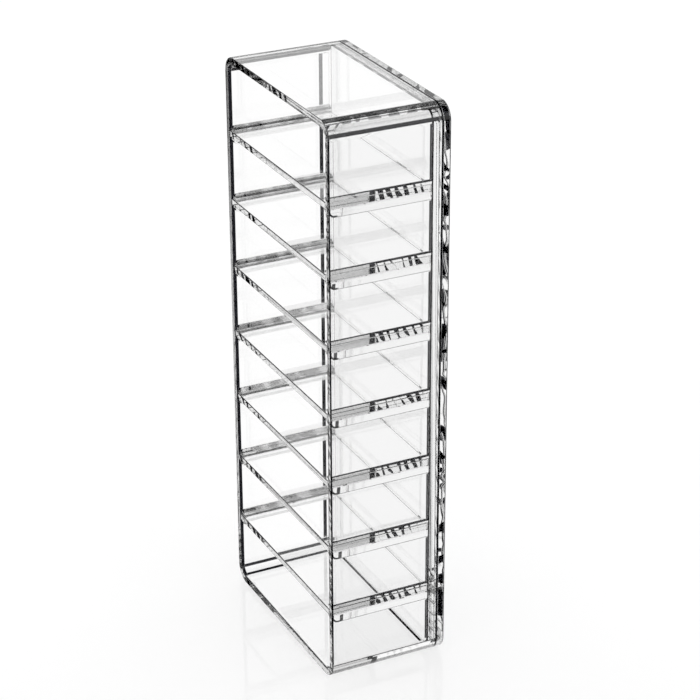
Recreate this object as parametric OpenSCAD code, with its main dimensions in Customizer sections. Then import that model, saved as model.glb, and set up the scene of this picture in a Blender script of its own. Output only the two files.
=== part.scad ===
// Clear tower organizer for make-up compacts.
// A bent sleeve with a plugged back, and removable dividers that slide between guide strips.
// The origin is the middle of the base, +Z is up and the open front faces -Y.

/* [Case] */
// Width of the case across its open front
case_w = 120; // [80:1:200]
// Depth of the case from its open front to its back
case_d = 65; // [40:1:120]
// Height of the case when it stands
case_h = 304; // [200:1:400]
// Thickness of the sheet that the sleeve is bent from
wall_t = 4; // [2:0.5:6]
// Outer radius of the sleeve's four bends
bend_r = 9; // [6.5:0.5:15]

/* [Back panel] */
// Thickness of the rim, which covers the rear end of the sleeve
rim_t = 5; // [2:0.5:10]
// Length of the plug, which fills the rear end of the sleeve
plug_t = 4; // [2:0.5:8]
// Gap for the cement between bonded pieces
bond_gap = 0.1; // [0.05:0.05:0.3]

/* [Dividers] */
// Number of dividers, one fewer than the compartments
divider_count = 7; // [3:1:11]
// Thickness of a divider
divider_t = 3.5; // [2:0.5:6]
// Gap on each side of a divider, so that it slides
slide_gap = 0.3; // [0.1:0.1:0.6]
// Height that the top compartment has over the others
top_extra = 2.25; // [0:0.25:8]

/* [Guide strips] */
// Reach of a guide strip from the side wall
guide_w = 3.4; // [2:0.2:5]
// Height of a lower guide strip, which carries a divider's edge
lower_guide_h = 4; // [3:0.2:8]
// Height of an upper guide strip, which keeps the edge down
upper_guide_h = 2.2; // [1.4:0.2:4]
// Blunt edge at both tips of a guide strip
guide_lip = 0.8; // [0.4:0.1:1]
// Distance of a guide strip's rounded nose from the open front
guide_set_back = 1; // [0.5:0.5:10]

/* [Hidden] */
$fn = 96;
clear = [0.92, 0.96, 0.98, 0.4];
front_y = -case_d / 2;
back_y = case_d / 2;
inner_w = case_w - 2 * wall_t;
inner_h = case_h - 2 * wall_t;
inner_r = bend_r - wall_t;
sleeve_d = case_d - rim_t - bond_gap;
// Depth of a compartment, from the open front to the plug
cell_d = case_d - rim_t - plug_t;
cell_h = (inner_h - top_extra - divider_count * divider_t) / (divider_count + 1);
SIDES = ["left", "right"];
PLACES = ["lower", "upper"];
LEVELS = [1 : divider_count];

function divider_name(level) = str("divider_", level);
function guide_name(side, place, level) = str(side, "_", place, "_guide_", level);

// Height of a divider's underside above the base
function divider_z(level) = wall_t + level * cell_h + (level - 1) * divider_t;

// Outline with round corners, centred across the case and standing on the base plane
module standing_outline(w, h, r, z) {
    translate([0, z + h / 2]) {
        square([w - 2 * r, h], center = true);
        square([w, h - 2 * r], center = true);
        for (x = [-1, 1], y = [-1, 1])
            translate([x * (w / 2 - r), y * (h / 2 - r)])
                circle(r);
    }
}

// Carries an upright outline through the case, from y over the given length
module along_depth(y, length) {
    translate([0, y + length, 0])
        rotate([90, 0, 0])
            linear_extrude(length)
                children();
}

// Clear sheet bent into a tube that is open at both ends
module sleeve() {
    color(clear)
        along_depth(front_y, sleeve_d)
            difference() {
                standing_outline(case_w, case_h, bend_r, 0);
                standing_outline(inner_w, inner_h, inner_r, wall_t);
            }
}

// Thick panel with a step round its edge: the rim behind the sleeve and the plug inside it
module back_panel() {
    color(clear) {
        along_depth(back_y - rim_t, rim_t)
            standing_outline(case_w, case_h, bend_r, 0);
        along_depth(front_y + cell_d, plug_t)
            standing_outline(
                inner_w - 2 * bond_gap,
                inner_h - 2 * bond_gap,
                inner_r - bond_gap,
                wall_t + bond_gap
            );
    }
}

// Flat shelf that fills the sleeve from side to side and stops at the plug
module divider(level) {
    divider_w = inner_w - 2 * slide_gap;
    divider_d = cell_d - slide_gap;
    color(clear)
        translate([-divider_w / 2, front_y, divider_z(level)])
            cube([divider_w, divider_d, divider_t]);
}

// Strip of triangular section with blunt tips, its flats on the wall and on the slot
module guide_section(h) {
    polygon([
        [0, 0],
        [guide_w, 0],
        [guide_w, guide_lip],
        [guide_lip, h],
        [0, h]
    ]);
}

// Side view of a guide strip, rounded at its nose on the side away from the slot
module guide_profile(h, length) {
    nose_r = h - guide_lip;
    square([length, guide_lip]);
    translate([nose_r, 0])
        square([length - nose_r, h]);
    translate([nose_r, guide_lip])
        circle(nose_r);
}

// Guide strip from its nose to the plug, with the slot side on the base plane
module guide_strip(h) {
    nose_y = front_y + guide_set_back;
    length = cell_d - guide_set_back - bond_gap;
    intersection() {
        along_depth(nose_y, length)
            guide_section(h);
        translate([0, nose_y, 0])
            rotate([90, 0, 90])
                linear_extrude(guide_w)
                    guide_profile(h, length);
    }
}

// Guide strip on a side wall, just under or just over a divider's edge
module guide(side, place, level) {
    lower = place == "lower";
    slot_z = lower ? divider_z(level) - slide_gap : divider_z(level) + divider_t + slide_gap;
    color(clear)
        mirror([side == "right" ? 1 : 0, 0, 0])
            translate([bond_gap - inner_w / 2, 0, slot_z])
                mirror([0, 0, lower ? 1 : 0])
                    guide_strip(lower ? lower_guide_h : upper_guide_h);
}

sleeve();
back_panel();
for (level = LEVELS) {
    divider(level);
    for (side = SIDES, place = PLACES)
        guide(side, place, level);
}
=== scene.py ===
from math import atan2, cos, pi, radians, sin

import bmesh
import bpy
from mathutils import Matrix, Quaternion, Vector


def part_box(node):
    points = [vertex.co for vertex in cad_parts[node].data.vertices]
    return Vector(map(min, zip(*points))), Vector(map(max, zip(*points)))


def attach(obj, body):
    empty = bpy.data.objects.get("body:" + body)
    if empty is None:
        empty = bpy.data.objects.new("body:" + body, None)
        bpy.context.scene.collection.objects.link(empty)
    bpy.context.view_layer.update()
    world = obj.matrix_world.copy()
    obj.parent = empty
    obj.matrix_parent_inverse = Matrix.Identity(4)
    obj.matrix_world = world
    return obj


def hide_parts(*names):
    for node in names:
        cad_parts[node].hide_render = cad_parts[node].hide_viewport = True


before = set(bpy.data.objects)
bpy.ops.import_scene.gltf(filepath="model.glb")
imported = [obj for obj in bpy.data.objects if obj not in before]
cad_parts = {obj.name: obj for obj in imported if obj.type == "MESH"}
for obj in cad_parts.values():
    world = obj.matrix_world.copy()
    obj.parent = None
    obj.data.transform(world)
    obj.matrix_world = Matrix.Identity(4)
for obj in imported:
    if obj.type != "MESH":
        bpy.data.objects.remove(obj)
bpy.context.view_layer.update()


# Sleeve: one strip of clear acrylic sheet, heated and bent round four corners into a tall tube.
# Its front edge is sawn, then eased on the inside and flame polished, so that it shows as a dark line,
# deepened with painted reflection.
# Its rear edge stays square, where it is cemented to the back panel.
wall_t = 0.004
bend_r = 0.009
bend_steps = 24
round_steps = 6
front_outer_r = 0.0003
front_bevel_x = 0.00043
front_bevel_y = 0.0016
bevel_turn = 0.0001
rear_edge_r = 0.0002
sleeve_low, sleeve_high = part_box("sleeve")


def outline_with_round_corners(corners, radii, steps):
    """Points and outward normals round an outline that turns left, each corner with its own radius."""
    outline = []
    for number, (corner, radius) in enumerate(zip(corners, radii)):
        before = corner - corners[number - 1]
        after = corners[(number + 1) % len(corners)] - corner
        out_before = Vector((before.y, -before.x)).normalized()
        out_after = Vector((after.y, -after.x)).normalized()
        centre = corner - (out_before + out_after) * radius / (1 + out_before.dot(out_after))
        turn = out_before.angle(out_after)
        for step in range(steps + 1):
            out = Matrix.Rotation(turn * step / steps, 2) @ out_before
            outline.append((centre + out * radius, out))
    return outline


def box_corners(low, high):
    return [Vector(low), Vector((high[0], low[1])), Vector(high), Vector((low[0], high[1]))]


def eased_edge(inset, along, inset_r, along_r, start, end):
    """Loops round one edge: how far each is set in, how far along it is, and how its skin leans."""
    loops = []
    for step in range(round_steps + 1):
        angle = radians(start + (end - start) * step / round_steps)
        lean = atan2(sin(angle) * abs(inset_r), cos(angle) * abs(along_r))
        loops.append((inset - inset_r * cos(angle), along + along_r * sin(angle), lean))
    return loops


def skin_through_loops(name, outline, loops, space, ring=False, bands=()):
    """A closed mesh through loops of one outline, with the exact normal of the form at every point.

    Each band names a first loop, a last loop and the number of the finish between them.
    """
    points = []
    normals = []
    for inset, along, lean in loops:
        for spot, out in outline:
            points.append(space(spot - out * inset, along))
            normals.append(space(out * cos(lean), sin(lean)))
    count = len(outline)
    faces = []
    for low in range(len(loops) if ring else len(loops) - 1):
        high = (low + 1) % len(loops)
        for near in range(count):
            far = (near + 1) % count
            faces.append((low * count + near, low * count + far, high * count + far, high * count + near))
    if not ring:
        faces.append(tuple(reversed(range(count))))
        faces.append(tuple(range(len(points) - count, len(points))))
    mesh = bpy.data.meshes.new(name)
    mesh.from_pydata(points, [], faces)
    mesh.shade_smooth()
    for first, last, finish in bands:
        for face in mesh.polygons[first * count:last * count]:
            face.material_index = finish
    mesh.normals_split_custom_set_from_vertices(normals)
    piece = bpy.data.objects.new(name, mesh)
    bpy.context.collection.objects.link(piece)
    return piece


def toward_front(spot, along):
    return Vector((spot.x, -along, spot.y))


def new_node(tree, kind, **settings):
    node = tree.nodes.new(kind)
    for name, value in settings.items():
        setattr(node, name, value)
    return node


def fill_socket(tree, socket, value):
    if isinstance(value, bpy.types.NodeSocket):
        tree.links.new(value, socket)
    else:
        socket.default_value = value


def calculate(tree, operation, first, second):
    node = new_node(tree, "ShaderNodeMath", operation=operation)
    fill_socket(tree, node.inputs[0], first)
    fill_socket(tree, node.inputs[1], second)
    return node.outputs[0]


def product(tree, *values):
    """All the values multiplied together."""
    result = values[0]
    for value in values[1:]:
        result = calculate(tree, "MULTIPLY", result, value)
    return result


def brightest(tree, *values):
    """The largest of all the values."""
    result = values[0]
    for value in values[1:]:
        result = calculate(tree, "MAXIMUM", result, value)
    return result


def opposite(tree, mask):
    return calculate(tree, "SUBTRACT", 1.0, mask)


def smooth_step(tree, value, dark, bright):
    """0 at dark and 1 at bright, smooth between them."""
    node = new_node(tree, "ShaderNodeMapRange", interpolation_type="SMOOTHSTEP")
    tree.links.new(value, node.inputs["Value"])
    node.inputs["From Min"].default_value = min(dark, bright)
    node.inputs["From Max"].default_value = max(dark, bright)
    node.inputs["To Min"].default_value = float(dark > bright)
    node.inputs["To Max"].default_value = float(bright > dark)
    return node.outputs[0]


def new_group(name, inputs, outputs):
    """An empty shader node group with its named sockets, and the node that gathers what it puts out."""
    group = bpy.data.node_groups.new(name, "ShaderNodeTree")
    for socket, kind in inputs.items():
        group.interface.new_socket(socket, in_out="INPUT", socket_type=kind)
    for socket in outputs:
        group.interface.new_socket(socket, in_out="OUTPUT", socket_type="NodeSocketFloat")
    return group, new_node(group, "NodeGroupOutput")


def facing(tree, axis):
    """1 where the skin faces along an axis, either way, and 0 where it faces across it."""
    surface = new_node(tree, "ShaderNodeNewGeometry")
    node = new_node(tree, "ShaderNodeVectorMath", operation="DOT_PRODUCT")
    tree.links.new(surface.outputs["Normal"], node.inputs[0])
    fill_socket(tree, node.inputs[1], axis)
    return product(tree, node.outputs["Value"], node.outputs["Value"])


eased_turn = (0.005, 0.035)
eased_edges, result = new_group("eased_edges", {"About": "NodeSocketVector"}, ["Eased"])
given = new_node(eased_edges, "NodeGroupInput")
along_axis = facing(eased_edges, given.outputs["About"])
turning = product(eased_edges, along_axis, opposite(eased_edges, along_axis))
eased_edges.links.new(smooth_step(eased_edges, turning, *eased_turn), result.inputs["Eased"])

# Painted reflection stripes: dark where a wave rises over a patchy share; the same wave is a saw ripple for
# bumps.
patch_range = (0.3, 0.7)
patch_gain = 2.0
mark_softness = 0.06
painted_stripes_and_ripple, result = new_group(
    "painted_stripes_and_ripple",
    {"Stretch": "NodeSocketVector", "Wander": "NodeSocketFloat", "Share": "NodeSocketFloat"},
    ["Marks", "Ripple"],
)
given = new_node(painted_stripes_and_ripple, "NodeGroupInput")
spot = new_node(painted_stripes_and_ripple, "ShaderNodeTexCoord")
stretched = new_node(painted_stripes_and_ripple, "ShaderNodeVectorMath", operation="MULTIPLY")
painted_stripes_and_ripple.links.new(spot.outputs["Object"], stretched.inputs[0])
painted_stripes_and_ripple.links.new(given.outputs["Stretch"], stretched.inputs[1])
wave = new_node(painted_stripes_and_ripple, "ShaderNodeTexWave", bands_direction="DIAGONAL", wave_profile="SIN")
wave.inputs["Scale"].default_value = 110.0
wave.inputs["Detail"].default_value = 1.5
wave.inputs["Detail Scale"].default_value = 1.2
painted_stripes_and_ripple.links.new(stretched.outputs[0], wave.inputs["Vector"])
painted_stripes_and_ripple.links.new(given.outputs["Wander"], wave.inputs["Distortion"])
painted_stripes_and_ripple.links.new(wave.outputs["Fac"], result.inputs["Ripple"])
patches = new_node(painted_stripes_and_ripple, "ShaderNodeTexNoise")
patches.inputs["Scale"].default_value = 90.0
patches.inputs["Detail"].default_value = 0.5
painted_stripes_and_ripple.links.new(spot.outputs["Object"], patches.inputs["Vector"])
patchy = product(painted_stripes_and_ripple, smooth_step(painted_stripes_and_ripple, patches.outputs["Fac"], *patch_range), patch_gain)
share = product(painted_stripes_and_ripple, given.outputs["Share"], patchy)
over = calculate(painted_stripes_and_ripple, "ADD", calculate(painted_stripes_and_ripple, "SUBTRACT", wave.outputs["Fac"], 1.0), share)
painted_stripes_and_ripple.links.new(smooth_step(painted_stripes_and_ripple, over, -mark_softness, mark_softness), result.inputs["Marks"])

smudge_range = (0.52, 0.75)
smudge_roughness = 0.03
handled_sheet, result = new_group("handled_sheet", {}, ["Roughness", "Height"])
spot = new_node(handled_sheet, "ShaderNodeTexCoord")
smudge = new_node(handled_sheet, "ShaderNodeTexNoise")
smudge.inputs["Scale"].default_value = 45.0
smudge.inputs["Detail"].default_value = 4.0
smudge.inputs["Roughness"].default_value = 0.65
handled_sheet.links.new(spot.outputs["Object"], smudge.inputs["Vector"])
smudged = smooth_step(handled_sheet, smudge.outputs["Fac"], *smudge_range)
handled_sheet.links.new(product(handled_sheet, smudged, smudge_roughness), result.inputs["Roughness"])
draw = new_node(handled_sheet, "ShaderNodeTexNoise")
draw.inputs["Scale"].default_value = 22.0
draw.inputs["Detail"].default_value = 1.0
handled_sheet.links.new(spot.outputs["Object"], draw.inputs["Vector"])
handled_sheet.links.new(draw.outputs["Fac"], result.inputs["Height"])

sheet_wave = 0.00002
acrylic_ior = 1.49
lamp_through = (0.955, 0.955, 0.955, 1)
clear = (1, 1, 1, 1)
# Near black, for the painted dark reflections and painted shade on the clear sheets.
painted_dark = (0.0002, 0.0002, 0.0003, 1)


def ripple_bump(tree, shader, height, depth):
    """Raises the surface by a height, on top of any bump that the shader has already."""
    bump = new_node(tree, "ShaderNodeBump")
    bump.inputs["Strength"].default_value = 1.0
    bump.inputs["Distance"].default_value = depth
    tree.links.new(height, bump.inputs["Height"])
    for link in shader.inputs["Normal"].links:
        tree.links.new(link.from_socket, bump.inputs["Normal"])
    tree.links.new(bump.outputs[0], shader.inputs["Normal"])


def clear_for_rays(tree, ray, shader, color):
    """Shows the shader to the eye, and lets one kind of ray pass the surface."""
    through = new_node(tree, "ShaderNodeBsdfTransparent")
    through.inputs["Color"].default_value = color
    mix = new_node(tree, "ShaderNodeMixShader")
    tree.links.new(ray, mix.inputs[0])
    tree.links.new(shader.outputs[0], mix.inputs[1])
    tree.links.new(through.outputs[0], mix.inputs[2])
    tree.links.new(mix.outputs[0], tree.nodes["Material Output"].inputs["Surface"])


def clear_acrylic(name):
    """Polished clear sheet that lets lamps shine through it, its material tree and its shader."""
    material = bpy.data.materials.new(name)
    material.use_nodes = True
    tree = material.node_tree
    shader = tree.nodes["Principled BSDF"]
    shader.inputs["IOR"].default_value = acrylic_ior
    shader.inputs["Transmission Weight"].default_value = 1.0
    handled = new_node(tree, "ShaderNodeGroup", node_tree=handled_sheet)
    tree.links.new(handled.outputs["Roughness"], shader.inputs["Roughness"])
    ripple_bump(tree, shader, handled.outputs["Height"], sheet_wave)
    path = new_node(tree, "ShaderNodeLightPath")
    lamp_ray = brightest(tree, path.outputs["Is Shadow Ray"], path.outputs["Is Diffuse Ray"])
    clear_for_rays(tree, lamp_ray, shader, lamp_through)
    return material, tree, shader


def paint_reflections_and_shade(tree, shader, *masks):
    """Paints dark reflections and shade into the sheet's colour wherever any of the masks is bright."""
    tint = new_node(tree, "ShaderNodeMix", data_type="RGBA")
    tint.inputs[6].default_value = clear
    tint.inputs[7].default_value = painted_dark
    tree.links.new(brightest(tree, *masks), tint.inputs[0])
    tree.links.new(tint.outputs[2], shader.inputs["Base Color"])


# Mask of the eased edges about an axis, which are painted dark as reflection.
def painted_edge_reflection(tree, about):
    node = new_node(tree, "ShaderNodeGroup", node_tree=eased_edges)
    node.inputs["About"].default_value = about
    return node.outputs["Eased"]


def paint_stripes(tree, stretch, wander, share):
    """Painted dark stripes, standing for the reflections in sawn edges, and the ripple of a saw, by their
    stretch along each axis, their wander and the share they fill.
    """
    node = new_node(tree, "ShaderNodeGroup", node_tree=painted_stripes_and_ripple)
    node.inputs["Stretch"].default_value = stretch
    node.inputs["Wander"].default_value = wander
    fill_socket(tree, node.inputs["Share"], share)
    return node.outputs


def place_on_piece(tree, kind="Object"):
    axes = new_node(tree, "ShaderNodeSeparateXYZ")
    tree.links.new(new_node(tree, "ShaderNodeTexCoord").outputs[kind], axes.inputs[0])
    return axes.outputs


side_blend = 0.01


def on_side(tree, x, side):
    """1 on one side of the case, the right one for 1 and the left one for -1, and 0 on the other."""
    return smooth_step(tree, x, -side * side_blend, side * side_blend)


front_stretch = (0.9, 0, 0.5)
front_wander = 5.0
front_share = 0.42
front_share_lost_at_base = 0.12
front_ripple = 0.00001
left_third = (-0.018, -0.028)
left_third_shift_at_base = 0.014
upright_from = (0.0550, 0.0560)
level_up_to = (0.0520, 0.0500)
base_up_to = (0.02, 0.01)
top_from = (0.28, 0.29)
bevel_from = (-0.0321, -0.0315)
outer_line_from = (0.0589, 0.0594)
left_grey_rise = (0.14, 0.28)
left_grey_least = 0.1
left_grey_gain = 0.5
streak_grey = 0.9
top_streak_grey = 0.8
front_finish, tree, shader = clear_acrylic("sleeve_front_acrylic")
x, y, z = place_on_piece(tree)
across = calculate(tree, "ABSOLUTE", x, 0.0)
upright = smooth_step(tree, across, *upright_from)
level = smooth_step(tree, across, *level_up_to)
at_base = smooth_step(tree, z, *base_up_to)
share = calculate(tree, "SUBTRACT", front_share, product(tree, at_base, front_share_lost_at_base))
stripes = paint_stripes(tree, front_stretch, front_wander, share)
from_left = calculate(tree, "ADD", x, product(tree, at_base, left_third_shift_at_base))
near_left = smooth_step(tree, from_left, *left_third)
streaks = paint_stripes(tree, stretch=(0.8, 0, 1.1), wander=7.0, share=0.28)["Marks"]
top_streaks = paint_stripes(tree, stretch=(0.06, 0, 3.4), wander=2.0, share=0.4)["Marks"]
left_rise = product(tree, smooth_step(tree, z, *left_grey_rise), left_grey_gain)
left_grey = calculate(tree, "ADD", left_rise, left_grey_least)
outer_line = smooth_step(tree, x, *outer_line_from)
right_grey = brightest(tree, product(tree, streaks, streak_grey), outer_line)
on_right = on_side(tree, x, 1)
left_column = product(tree, opposite(tree, on_right), left_grey)
column = brightest(tree, product(tree, on_right, right_grey), left_column)
bevel = smooth_step(tree, y, *bevel_from)
base_bevel = product(tree, bevel, at_base)
# Painted reflection on the front edge: a dark eased line, dark stripes in the left third, grey streaks near
# the top, and grey columns at the upright corners, greyer higher up on the left and streaked with a dark
# outer line on the right.
paint_reflections_and_shade(
    tree,
    shader,
    product(tree, painted_edge_reflection(tree, (0, 1, 0)), opposite(tree, product(tree, base_bevel, level))),
    product(tree, stripes["Marks"], near_left, level, opposite(tree, base_bevel)),
    product(tree, top_streaks, opposite(tree, near_left), level, smooth_step(tree, z, *top_from), top_streak_grey),
    product(tree, upright, column),
)
ripple_bump(tree, shader, stripes["Ripple"], front_ripple)

# Painted dark reflection bands round a bend, by how far the skin faces up where each begins, is full, fades
# and is gone.
bend_bands = {
    "Thin_Level": (0.995, 0.980, 0.96, 0.93),
    "Level_Line": (0.998, 0.990, 0.84, 0.78),
    "Wall_Line": (0.002, 0.010, 0.15, 0.21),
    "Upper": (0.97, 0.90, 0.60, 0.50),
    "Lower": (0.01, 0.05, 0.50, 0.60),
}
painted_bend_reflections, result = new_group("painted_bend_reflections", {}, bend_bands)
lift = facing(painted_bend_reflections, (0, 0, 1))
for socket, (begin, full, fading, gone) in bend_bands.items():
    begun = smooth_step(painted_bend_reflections, lift, begin, full)
    not_gone = smooth_step(painted_bend_reflections, lift, gone, fading)
    painted_bend_reflections.links.new(product(painted_bend_reflections, begun, not_gone), result.inputs[socket])


def bent(tree):
    return new_node(tree, "ShaderNodeGroup", node_tree=painted_bend_reflections).outputs


# Painted reflections along the bars at the right wall: plain grey in front, a dark block, and painted dark
# stripes up to the rear.
grey_up_to = (-0.0095, -0.0105)
block_from = (-0.0108, -0.0098)
block_up_to = (-0.0062, -0.0072)
hatch_from = (-0.0072, -0.0062)
hatch_up_to = (0.0205, 0.0190)
bar_painted_reflections, result = new_group("bar_painted_reflections", {}, ["Grey", "Block", "Hatch", "Behind"])
along = place_on_piece(bar_painted_reflections)["Y"]
marks = paint_stripes(bar_painted_reflections, stretch=(0, 1.3, 0.55), wander=4.0, share=0.31)["Marks"]
behind = smooth_step(bar_painted_reflections, along, *hatch_from)
before_rear = smooth_step(bar_painted_reflections, along, *hatch_up_to)
block_end = smooth_step(bar_painted_reflections, along, *block_up_to)
block = product(bar_painted_reflections, smooth_step(bar_painted_reflections, along, *block_from), block_end)
bar_painted_reflections.links.new(smooth_step(bar_painted_reflections, along, *grey_up_to), result.inputs["Grey"])
bar_painted_reflections.links.new(block, result.inputs["Block"])
bar_painted_reflections.links.new(product(bar_painted_reflections, marks, behind, before_rear), result.inputs["Hatch"])
bar_painted_reflections.links.new(behind, result.inputs["Behind"])


def bar(tree):
    return new_node(tree, "ShaderNodeGroup", node_tree=bar_painted_reflections).outputs


def bar_mask(tree, grey, hatch):
    """One mask of all the painted reflections along a bar, with the strengths of its grey and its stripes.
    """
    parts = bar(tree)
    return brightest(
        tree, product(tree, parts["Grey"], grey), product(tree, parts["Hatch"], hatch), parts["Block"]
    )


upper_half = (0.15, 0.16)
base_band_from = (0.0002, 0.0006)
base_band_up_to = (0.0086, 0.0080)
rear_blobs_from = (0.002, 0.012)
level_line_grey = 0.9
right_blob_grey = 0.8
lower_bend_grey = 0.35
outer_finish, tree, shader = clear_acrylic("sleeve_outer_acrylic")
x, y, z = place_on_piece(tree)
at_top = smooth_step(tree, z, *upper_half)
on_left = on_side(tree, x, -1)
on_right = on_side(tree, x, 1)
corner = bent(tree)
marks = paint_stripes(tree, stretch=(0.4, 0.55, 0.4), wander=8.0, share=0.50)["Marks"]
base_bar = bar_mask(tree, grey=0.5, hatch=0.35)
base_band = product(tree, smooth_step(tree, z, *base_band_from), smooth_step(tree, z, *base_band_up_to))
# Painted reflection on the outside of the bends: dark lines and dark blobs near the top, grey on the lower
# bends, and the bar marks along the base on the right.
paint_reflections_and_shade(
    tree,
    shader,
    product(tree, corner["Thin_Level"], at_top, on_right, level_line_grey),
    product(tree, corner["Level_Line"], at_top, on_left),
    product(tree, corner["Upper"], marks, at_top, on_right, right_blob_grey),
    product(tree, corner["Upper"], marks, at_top, on_left, smooth_step(tree, y, *rear_blobs_from)),
    product(tree, corner["Lower"], at_top, lower_bend_grey),
    product(tree, base_bar, base_band, on_right),
)

base_shadow_up_to = (0.0060, 0.0045)
base_painted_shadow = 0.1
left_upper_grey = 0.5
left_lower_grey = 0.9
inner_finish, tree, shader = clear_acrylic("sleeve_inner_acrylic")
place = place_on_piece(tree)
at_top = smooth_step(tree, place["Z"], *upper_half)
on_left = on_side(tree, place["X"], -1)
corner = bent(tree)
# Painted reflection on the inside of the bends: dark lines and greys, most of them on the left.
paint_reflections_and_shade(
    tree,
    shader,
    product(tree, corner["Level_Line"], on_left),
    product(tree, corner["Wall_Line"], brightest(tree, at_top, on_left)),
    product(tree, corner["Upper"], on_left, at_top, left_upper_grey),
    product(tree, corner["Lower"], on_left, at_top, left_lower_grey),
    # Light painted shadow low in the case, standing for the shade of the floor under the base.
    product(tree, smooth_step(tree, place["Z"], *base_shadow_up_to), base_painted_shadow),
)

case_outline = outline_with_round_corners(
    box_corners((sleeve_low.x, sleeve_low.z), (sleeve_high.x, sleeve_high.z)), [bend_r] * 4, bend_steps
)
front = -sleeve_low.y
rear_round = -sleeve_high.y + rear_edge_r
bevel_lean = atan2(front_bevel_x, -front_bevel_y)
front_loops = eased_edge(front_outer_r, front - front_outer_r, front_outer_r, front_outer_r, 0, 90) + [
    (wall_t - front_bevel_x - bevel_turn, front, pi / 2),
    (wall_t - front_bevel_x, front, bevel_lean),
    (wall_t, front - front_bevel_y, bevel_lean),
    (wall_t, front - front_bevel_y - bevel_turn, pi),
]
rear_loops = (
    eased_edge(wall_t - rear_edge_r, rear_round, rear_edge_r, rear_edge_r, 180, 270)
    + eased_edge(rear_edge_r, rear_round, rear_edge_r, rear_edge_r, 270, 360)
)
inner_start = len(front_loops) - 1
outer_start = len(front_loops) + len(rear_loops) - 1
sleeve = skin_through_loops(
    "clear_sleeve",
    case_outline,
    front_loops + rear_loops,
    toward_front,
    ring=True,
    bands=[(inner_start, inner_start + 1, 1), (outer_start, outer_start + 1, 2)],
)
for finish in (front_finish, inner_finish, outer_finish):
    sleeve.data.materials.append(finish)
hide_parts("sleeve")
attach(sleeve, "case")


# Back panel: a thick clear acrylic plate with a step milled round it.
# The rim covers the rear edge of the sleeve and the plug fits inside it, and the joint is cemented.
rim_t = 0.005
bond_gap = 0.0001
rim_r = 0.0010
plug_r = 0.0008
step_r = 0.0003
back_low, back_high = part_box("back_panel")
plug_inset = wall_t + bond_gap
rim_front = -back_high.y + rim_t
back_loops = (
    eased_edge(rim_r, -back_high.y + rim_r, rim_r, rim_r, -90, 0)
    + eased_edge(rim_r, rim_front - rim_r, rim_r, rim_r, 0, 90)
    + eased_edge(plug_inset - step_r, rim_front + step_r, -step_r, -step_r, 90, 0)
    + eased_edge(plug_inset + plug_r, -back_low.y - plug_r, plug_r, plug_r, 0, 90)
)

rim_marks_from = (0.006, 0.012)
rim_ripple = 0.0001
rim_finish, tree, shader = clear_acrylic("rim_acrylic")
stripes = paint_stripes(tree, stretch=(0.30, 0.32, 0.36), wander=9.0, share=0.36)
above_base = smooth_step(tree, place_on_piece(tree)["Z"], *rim_marks_from)
# Painted reflection on the rim: dark eased edges, and dark stripes above the base.
paint_reflections_and_shade(tree, shader, painted_edge_reflection(tree, (0, 1, 0)), product(tree, stripes["Marks"], above_base))
ripple_bump(tree, shader, product(tree, stripes["Ripple"], above_base), rim_ripple)

plug_finish, tree, shader = clear_acrylic("plug_acrylic")
# Painted reflection: the plug's eased edges are dark.
paint_reflections_and_shade(tree, shader, painted_edge_reflection(tree, (0, 1, 0)))

rim_start = round_steps
back = skin_through_loops(
    "clear_back", case_outline, back_loops, toward_front, bands=[(rim_start, rim_start + 1, 1)]
)
for finish in (plug_finish, rim_finish):
    back.data.materials.append(finish)
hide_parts("back_panel")
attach(back, "case")


# Guide strips: short clear acrylic strips of triangular section, with a rounded nose behind the open front.
# They are cemented to the side walls in pairs, and each pair leaves a slot for the edge of a divider.
guide_lip = 0.0008
guide_edge_r = 0.0002
guide_edge_steps = 3
guide_edge_angle = radians(25)
nose_steps = 14
weld_distance = 0.000001
guide_low, guide_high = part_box("right_lower_guide_1")
guide_length = guide_high.y - guide_low.y
lower_h = guide_high.z - guide_low.z
lower_nose_r = lower_h - guide_lip

nose_line_in = 0.0011
nose_line_full = 0.0008
nose_line_up_to = (0.0055, 0.0040)
nose_line_wall = (0.0550, 0.0556)
lower_guide_finish, tree, shader = clear_acrylic("lower_guide_acrylic")
on_wall = smooth_step(tree, place_on_piece(tree)["X"], *nose_line_wall)
along = place_on_piece(tree, "Generated")
from_nose = product(tree, along["Y"], guide_length)
ahead = brightest(tree, calculate(tree, "SUBTRACT", lower_nose_r, from_nose), 0.0)
under = calculate(tree, "SUBTRACT", lower_nose_r, product(tree, along["Z"], lower_h))
squares = calculate(tree, "ADD", product(tree, ahead, ahead), product(tree, under, under))
outward = calculate(tree, "SQRT", squares, 0.0)
nose_line = product(
    tree,
    smooth_step(tree, outward, lower_nose_r - nose_line_in, lower_nose_r - nose_line_full),
    smooth_step(tree, from_nose, *nose_line_up_to),
    on_wall,
)
# Painted reflection on the lower guides: dark eased edges, and a dark line round the nose on the right wall.
paint_reflections_and_shade(tree, shader, painted_edge_reflection(tree, (0, 1, 0)), nose_line)

right_wall_from = (0.0540, 0.0552)
left_wall_from = (0.0, -0.01)
top_line_from = (0.78, 0.88)
top_line_wider = 0.25
left_strip_grey = 0.3
left_strip_streaks = 0.3
upper_guide_finish, tree, shader = clear_acrylic("upper_guide_acrylic")
across = place_on_piece(tree)["X"]
on_right_wall = smooth_step(tree, across, *right_wall_from)
on_left_wall = smooth_step(tree, across, *left_wall_from)
wider_behind = product(tree, bar(tree)["Behind"], top_line_wider)
rise = calculate(tree, "ADD", place_on_piece(tree, "Generated")["Z"], wider_behind)
streaks = paint_stripes(tree, stretch=(0.3, 0.5, 0.6), wander=5.0, share=0.5)["Marks"]
left_grey = calculate(tree, "ADD", product(tree, streaks, left_strip_streaks), left_strip_grey)
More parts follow.
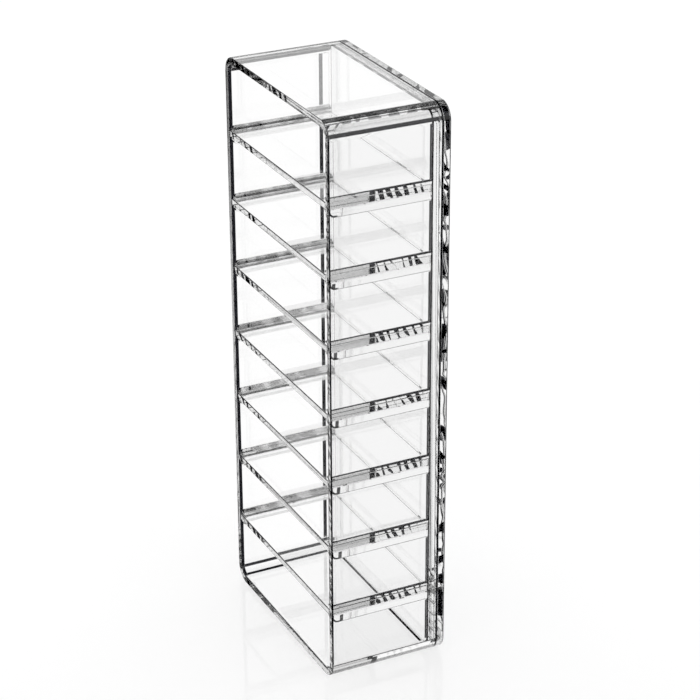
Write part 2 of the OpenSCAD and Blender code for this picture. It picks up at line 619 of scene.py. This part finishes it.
# Painted reflection on the upper guides: dark eased edges, the bar marks and a dark top line, wider toward
# the rear, on the right wall, and grey streaks on the left wall.
paint_reflections_and_shade(
    tree,
    shader,
    painted_edge_reflection(tree, (0, 1, 0)),
    product(tree, bar_mask(tree, grey=0.6, hatch=1.0), on_right_wall),
    product(tree, smooth_step(tree, rise, *top_line_from), on_right_wall),
    product(tree, on_left_wall, left_grey),
)


def guide_mesh(name, wall, tip, seat, far, front, rear):
    """Sections of the strip from its nose to its rear end, each cut off at the height of the nose there."""
    rise = 1 if far > seat else -1
    inward = 1 if tip > wall else -1
    width = abs(tip - wall)
    nose_r = abs(far - seat) - guide_lip
    mesh = bmesh.new()
    rows = []
    for step in range(nose_steps + 2):
        angle = min(step / nose_steps, 1) * pi / 2
        high = guide_lip + nose_r * sin(angle)
        along = front + nose_r * (1 - cos(angle)) if step <= nose_steps else rear
        bevel = width - (high - guide_lip) * (width - guide_lip) / nose_r
        section = [(0, 0), (width, 0), (width, guide_lip), (bevel, high), (0, high)]
        rows.append([mesh.verts.new((wall + inward * x, along, seat + rise * z)) for x, z in section])
    for row, after in zip(rows, rows[1:]):
        for number in range(len(row)):
            following = (number + 1) % len(row)
            mesh.faces.new((row[number], row[following], after[following], after[number]))
    mesh.faces.new(rows[0])
    mesh.faces.new(rows[-1])
    bmesh.ops.remove_doubles(mesh, verts=mesh.verts, dist=weld_distance)
    bmesh.ops.dissolve_degenerate(mesh, edges=mesh.edges, dist=weld_distance)
    bmesh.ops.recalc_face_normals(mesh, faces=mesh.faces)
    data = bpy.data.meshes.new(name)
    mesh.to_mesh(data)
    mesh.free()
    data.shade_smooth()
    data.set_sharp_from_angle(angle=guide_edge_angle)
    return data


for node in sorted(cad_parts):
    if "guide" not in node:
        continue
    low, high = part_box(node)
    wall, tip = (low.x, high.x) if node.startswith("left") else (high.x, low.x)
    seat, far = (high.z, low.z) if "lower" in node else (low.z, high.z)
    name = "clear_" + node
    strip = bpy.data.objects.new(name, guide_mesh(name, wall, tip, seat, far, low.y, high.y))
    bpy.context.collection.objects.link(strip)
    eased = strip.modifiers.new("eased_edges", "BEVEL")
    eased.width = guide_edge_r
    eased.segments = guide_edge_steps
    eased.limit_method = "ANGLE"
    eased.angle_limit = guide_edge_angle
    eased.harden_normals = True
    strip.data.materials.append(lower_guide_finish if "lower" in node else upper_guide_finish)
    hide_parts(node)
    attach(strip, "case")


# Dividers: flat clear acrylic shelves, cut to size and polished along the front edge.
# Each slides in from the front between its guide strips and stops at the plug.
divider_front_r = 0.00045
divider_rear_r = 0.00025
divider_end_r = 0.0004

flat_face = (0.6, 0.9)
front_half = (-0.02, -0.03)
ends_from = (0.0556, 0.0550)
divider_finish, tree, shader = clear_acrylic("divider_acrylic")
place = place_on_piece(tree)
end_face = smooth_step(tree, facing(tree, (1, 0, 0)), *flat_face)
front_face = smooth_step(tree, facing(tree, (0, 1, 0)), *flat_face)
on_right_wall = smooth_step(tree, place["X"], *right_wall_from)
end_marks = product(tree, end_face, bar_mask(tree, grey=0.6, hatch=1.0), on_right_wall)
marks = paint_stripes(tree, front_stretch, front_wander, front_share)["Marks"]
near_left = smooth_step(tree, place["X"], *left_third)
front_marks = product(tree, front_face, marks, near_left, smooth_step(tree, place["Y"], *front_half))
between_ends = smooth_step(tree, calculate(tree, "ABSOLUTE", place["X"], 0.0), *ends_from)
# Painted reflection on the dividers: dark eased top and bottom edges between the ends, the bar marks on the
# right ends, and dark stripes on the front edge's left third.
paint_reflections_and_shade(tree, shader, product(tree, painted_edge_reflection(tree, (0, 0, 1)), between_ends), end_marks, front_marks)


def toward_right(spot, along):
    return Vector((along, spot.x, spot.y))


for node in sorted(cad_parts):
    if not node.startswith("divider"):
        continue
    low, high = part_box(node)
    outline = outline_with_round_corners(
        box_corners((low.y, low.z), (high.y, high.z)),
        [divider_front_r, divider_rear_r, divider_rear_r, divider_front_r],
        round_steps,
    )
    loops = (
        eased_edge(divider_end_r, low.x + divider_end_r, divider_end_r, divider_end_r, -90, 0)
        + eased_edge(divider_end_r, high.x - divider_end_r, divider_end_r, divider_end_r, 0, 90)
    )
    shelf = skin_through_loops("clear_" + node, outline, loops, toward_right)
    shelf.data.materials.append(divider_finish)
    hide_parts(node)
    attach(shelf, node)


# Cement films: clear solvent cement that crept from the plug's joint along the walls and set there.
# Those on the side walls run between two pairs of guide strips, and each film ends in a thin sloping edge,
# which shows as a dark line, deepened with painted reflection on its eased edges.
cement_x = 0.00045
cement_y = {"left": 0.0057, "right": 0.0014}
cement_slope = {"left": 0.0021, "right": 0.0014}
cement_r = 0.0001
cement_corner_r = cement_r / 4
cement_corner_steps = 2
cement_gap = 0.0004
film_rear = guide_high.y
cement_finish, tree, shader = clear_acrylic("cement_acrylic")
# Painted reflection: the films' eased edges are dark.
paint_reflections_and_shade(tree, shader, painted_edge_reflection(tree, (0, 1, 0)))


def upward(spot, along):
    return Vector((spot.x, spot.y, along))


def cement_film(name, corners, start, end, space, finish):
    """A film with one section from start to end, its corners and its two ends eased."""
    outline = outline_with_round_corners(corners, [cement_corner_r] * len(corners), cement_corner_steps)
    loops = (
        eased_edge(cement_r, start + cement_r, cement_r, cement_r, -90, 0)
        + eased_edge(cement_r, end - cement_r, cement_r, cement_r, 0, 90)
    )
    film = skin_through_loops(name, outline, loops, space)
    film.data.materials.append(finish)
    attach(film, "case")


levels = sum(node.startswith("divider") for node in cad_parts)
for level in range(levels + 1):
    for side, inward in (("left", 1), ("right", -1)):
        side_low, side_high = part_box(f"{side}_lower_guide_1")
        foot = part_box(f"{side}_upper_guide_{level}")[1].z if level else sleeve_low.z + bend_r
        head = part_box(f"{side}_lower_guide_{level + 1}")[0].z if level < levels else sleeve_high.z - bend_r
        wall = side_low.x if side == "left" else side_high.x
        face = wall + inward * cement_x
        start = film_rear - cement_y[side]
        top_of_slope = start + cement_slope[side]
        corners = [Vector((wall, film_rear)), Vector((wall, start)), Vector((face, top_of_slope))]
        if top_of_slope >= film_rear:
            corners.pop()
        corners.append(Vector((face, film_rear)))
        if inward < 0:
            corners.reverse()
        name = f"cement_{side}_{level + 1}"
        cement_film(name, corners, foot + cement_gap, head - cement_gap, upward, cement_finish)

level_film_half = sleeve_high.x - bend_r - 0.0005
level_film_y = 0.0012
level_finish, tree, shader = clear_acrylic("level_cement_acrylic")
marks = paint_stripes(tree, stretch=(0.35, 0, 0), wander=6.0, share=0.72)["Marks"]
# Painted reflection on the level films: dark eased edges and dark stripes.
paint_reflections_and_shade(tree, shader, painted_edge_reflection(tree, (0, 1, 0)), marks)
for name, seat, rise in (
    ("cement_base", sleeve_low.z + wall_t + bond_gap, 1),
    ("cement_top", sleeve_high.z - wall_t - bond_gap, -1),
):
    corners = [
        Vector((film_rear, seat)),
        Vector((film_rear, seat + rise * cement_x)),
        Vector((film_rear - level_film_y, seat)),
    ]
    if rise < 0:
        corners.reverse()
    cement_film(name, corners, -level_film_half, level_film_half, toward_right, level_finish)


# Floor: a plain white studio table with a soft sheen, just under the base.
# Rays that come through the acrylic pass it, so that they end in the light around the table.
floor_half = 20.0
floor_z = -0.0003
white = (1, 1, 1, 1)
floor_mesh = bpy.data.meshes.new("floor")
floor_points = [(x * floor_half, y * floor_half, floor_z) for x, y in ((-1, -1), (1, -1), (1, 1), (-1, 1))]
floor_mesh.from_pydata(floor_points, [], [(0, 1, 2, 3)])
floor = bpy.data.objects.new("floor", floor_mesh)
bpy.context.collection.objects.link(floor)
floor_finish = bpy.data.materials.new("floor_white")
floor_finish.use_nodes = True
tree = floor_finish.node_tree
shader = tree.nodes["Principled BSDF"]
shader.inputs["Base Color"].default_value = white
shader.inputs["Roughness"].default_value = 0.02
shader.inputs["IOR"].default_value = 1.45
shader.inputs["Emission Color"].default_value = white
shader.inputs["Emission Strength"].default_value = 0.03


def glass_ray(tree):
    path = new_node(tree, "ShaderNodeLightPath")
    return brightest(tree, path.outputs["Is Transmission Ray"], path.outputs["Is Glossy Ray"])


clear_for_rays(tree, glass_ray(tree), shader, white)
floor.data.materials.append(floor_finish)


# Light: an even white tent round the table, with black cards where a photographer of glass sets them.
# Plain views through the acrylic meet white. Light that was mirrored or ran inside a sheet meets the cards,
# and a gap in the rear right card keeps the far walls from mirroring it.
top_card = (0.65, 0.5)
foot_card = (-0.85, -0.7)
rear_right_card_x = (0.0, 0.25)
rear_right_card_y = (0.0, 0.2)
rear_right_card_z = (0.1, -0.1)
deep_card_strength = 0.3
wall_mirror = Vector((0.81, 0.40, -0.43)).normalized()
gap_from = cos(radians(14))
gap_full = cos(radians(10))
guided_range = (-0.03, 0.03)
guided_sides = (0.1, -0.1)
guided_least = 0.55
guided_left = 0.9
level_light_from = (-0.1, 0.0)
steep_light_from = (-0.6, -0.75)
most_bounces = 64
world = bpy.data.worlds.new("white_tent")
bpy.context.scene.world = world
world.use_nodes = True
tree = world.node_tree
tree.nodes.clear()
tent = new_node(tree, "ShaderNodeBackground")
tent.inputs["Color"].default_value = white
carded = new_node(tree, "ShaderNodeBackground")
carded.inputs["Color"].default_value = white
direction = new_node(tree, "ShaderNodeTexCoord").outputs["Generated"]
axes = new_node(tree, "ShaderNodeSeparateXYZ")
tree.links.new(direction, axes.inputs[0])
x, y, z = axes.outputs
path = new_node(tree, "ShaderNodeLightPath")


def choose(choice, no, yes):
    node = new_node(tree, "ShaderNodeMix", data_type="FLOAT")
    for socket, value in zip((node.inputs[0], node.inputs[2], node.inputs[3]), (choice, no, yes)):
        fill_socket(tree, socket, value)
    return node.outputs[0]


def more_than(count, depth):
    """1 for light that was mirrored, or passed a surface, more often than a count."""
    return calculate(tree, "GREATER_THAN", path.outputs[depth], count + 0.5)


mirrored = more_than(0, "Glossy Depth")
guided = more_than(7, "Glossy Depth")
entered = more_than(0, "Transmission Depth")
mirrored_once = opposite(tree, more_than(1, "Glossy Depth"))
one_sheet = product(tree, mirrored_once, opposite(tree, more_than(2, "Transmission Depth")))
near_sheets = product(tree, mirrored_once, opposite(tree, more_than(4, "Transmission Depth")))

below_top_card = smooth_step(tree, z, *top_card)
above_foot_card = smooth_step(tree, z, *foot_card)
rear_right_card = product(
    tree,
    smooth_step(tree, x, *rear_right_card_x),
    smooth_step(tree, y, *rear_right_card_y),
    smooth_step(tree, z, *rear_right_card_z),
)
toward_mirror = new_node(tree, "ShaderNodeVectorMath", operation="DOT_PRODUCT")
tree.links.new(direction, toward_mirror.inputs[0])
toward_mirror.inputs[1].default_value = wall_mirror
gap_in_card = smooth_step(tree, toward_mirror.outputs["Value"], gap_from, gap_full)
beside_gap = product(tree, opposite(tree, gap_in_card), choose(near_sheets, deep_card_strength, 1.0))
card_strength = choose(one_sheet, beside_gap, 1.0)
rear_right_light = opposite(tree, product(tree, rear_right_card, card_strength))
foot_light = brightest(tree, above_foot_card, one_sheet)
reflected_light = product(tree, below_top_card, foot_light, rear_right_light)
guided_pattern = choose(smooth_step(tree, product(tree, x, y, z), *guided_range), guided_least, 1.0)
guided_right = product(tree, guided_pattern, above_foot_card, below_top_card)
guided_light = choose(smooth_step(tree, x, *guided_sides), guided_right, guided_left)
inner_light = choose(mirrored, below_top_card, choose(guided, reflected_light, guided_light))
level_light = smooth_step(tree, z, *level_light_from)
steep_light = smooth_step(tree, z, *steep_light_from)
outer_light = product(tree, brightest(tree, level_light, steep_light), below_top_card)
tree.links.new(choose(entered, outer_light, inner_light), carded.inputs["Strength"])
mix = new_node(tree, "ShaderNodeMixShader")
tree.links.new(glass_ray(tree), mix.inputs[0])
tree.links.new(tent.outputs[0], mix.inputs[1])
tree.links.new(carded.outputs[0], mix.inputs[2])
tree.links.new(mix.outputs[0], new_node(tree, "ShaderNodeOutputWorld").inputs["Surface"])
bpy.context.scene.cycles.max_bounces = most_bounces
bpy.context.scene.cycles.glossy_bounces = most_bounces
bpy.context.scene.cycles.transmission_bounces = most_bounces
bpy.context.scene.cycles.transparent_max_bounces = most_bounces


# Camera: a long lens above the right front corner, a little over a metre away.
# Its place comes from the edges of the tower in the photograph.
camera_place = Vector((0.9688, -0.4679, 0.6632))
camera_aim = Vector((0.0030, 0.0061, 0.1572))
camera_roll = radians(-0.261)
lens = bpy.data.cameras.new("camera")
lens.sensor_width = 36.0
lens.lens = 118.8
camera = bpy.data.objects.new("camera", lens)
bpy.context.collection.objects.link(camera)
camera.location = camera_place
camera.rotation_mode = "QUATERNION"
camera.rotation_quaternion = (
    (camera_aim - camera_place).to_track_quat("-Z", "Y") @ Quaternion((0, 0, 1), camera_roll)
)
bpy.context.scene.camera = camera
bpy.context.scene.view_settings.view_transform = "Standard"
